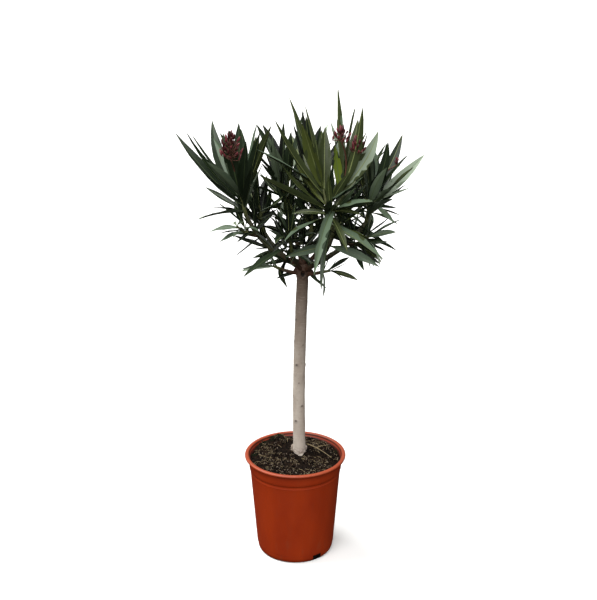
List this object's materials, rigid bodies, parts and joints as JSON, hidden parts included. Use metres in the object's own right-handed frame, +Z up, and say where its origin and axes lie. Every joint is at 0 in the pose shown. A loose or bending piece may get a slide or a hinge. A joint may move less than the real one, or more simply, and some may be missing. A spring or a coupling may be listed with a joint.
{
  "type": "potted oleander",
  "caption": "Oleander grown as a small standard: one clear stem in a round plastic nursery pot, an open rounded head of long narrow leaves and closed flower buds.",
  "frame": {"origin": "centre of the pot's flat underside", "axes": "+Z up along the pot's axis and the stem; -Y towards the viewer of the picture, +X to the viewer's right"},
  "size_m": [0.4566, 0.4706, 0.8864],
  "materials": {
    "pot": "satin",
    "soil": "matte",
    "bark": "matte",
    "foliage": "satin"
  },
  "bodies": {
    "root": {"pot": "pot", "soil": "soil", "trunk": "bark", "bough_left": "bark", "bough_front": "bark", "bough_right": "bark", "bough_middle": "bark", "bough_centre": "bark", "bough_back_right": "bark", "bough_back_left": "bark", "bough_back": "bark", "bough_front_left": "bark", "bough_low_left": "bark", "bough_low_right": "bark", "bough_low_back": "bark", "bough_left_spur": "bark", "bough_right_spur": "bark", "bough_side_spur": "bark", "foliage_upper_left": "foliage", "foliage_lower_left": "foliage", "foliage_front": "foliage", "foliage_upper_right": "foliage", "foliage_lower_right": "foliage", "foliage_middle": "foliage", "foliage_centre": "foliage", "foliage_back_right": "foliage", "foliage_back_left": "foliage", "foliage_back": "foliage", "foliage_front_left": "foliage", "foliage_low_left": "foliage", "foliage_low_right": "foliage", "foliage_low_back": "foliage", "foliage_side": "foliage"}
  },
  "joints": []
}
